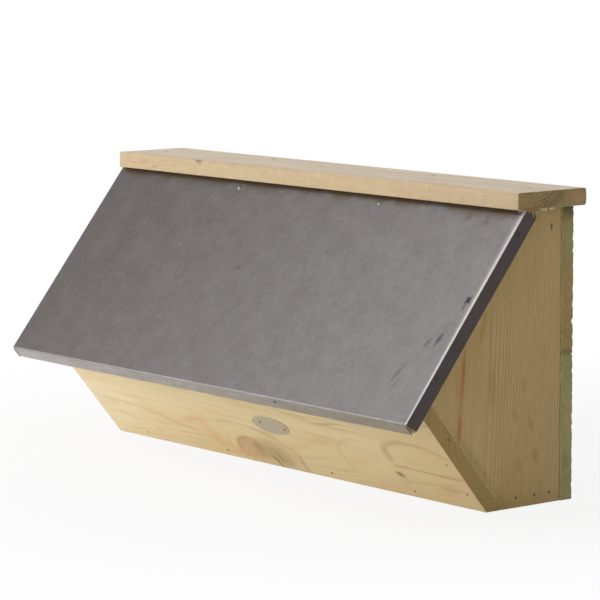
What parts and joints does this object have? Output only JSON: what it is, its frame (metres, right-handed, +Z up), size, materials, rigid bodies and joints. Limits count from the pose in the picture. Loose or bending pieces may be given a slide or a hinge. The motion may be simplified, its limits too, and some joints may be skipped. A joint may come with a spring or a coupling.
{
  "type": "swift nest box",
  "caption": "Wooden swift nest box with a steep sheet-covered roof, a narrow lid board, entrance slots in its floor and a flat back for a wall.",
  "frame": {"origin": "in the wall plane, at the middle of the back's lower edge, level with the underside", "axes": "+X to the right along the box when seen from the front, +Y into the wall, +Z up"},
  "size_m": [0.7636, 0.2727, 0.3565],
  "materials": {
    "pine": "planed pine, khaki tan",
    "pale_pine": "planed pine, pale yellow buff",
    "treated_pine": "rough sawn pine with a green pressure treatment",
    "grey_sheet": "dull warm grey zinc-coated sheet, mottled",
    "plate_metal": "matte grey beige plate",
    "bright_steel": "zinc plated",
    "dull_steel": "dull wire nails"
  },
  "bodies": {
    "root": {"back_board_lower": "treated_pine", "back_board_upper": "treated_pine", "side_panel_left": "pine", "side_panel_right": "pine", "partition_left": "pine", "partition_right": "pine", "floor_board": "pine", "front_board": "pale_pine", "roof_board_lower": "pine", "roof_board_upper": "pine", "roof_sheet": "grey_sheet", "lid_board": "pale_pine", "hanging_rail": "pine", "name_plate": "plate_metal", "plate_nails": "bright_steel", "roof_screws": "bright_steel", "fold_screws_left": "bright_steel", "fold_screws_right": "bright_steel", "front_fold_nail": "bright_steel", "front_floor_nails": "dull_steel", "front_corner_nails_left": "dull_steel", "front_corner_nails_right": "dull_steel", "side_nails_left": "dull_steel", "side_nails_right": "dull_steel", "back_nails": "dull_steel", "lid_screws": "bright_steel"}
  },
  "joints": []
}
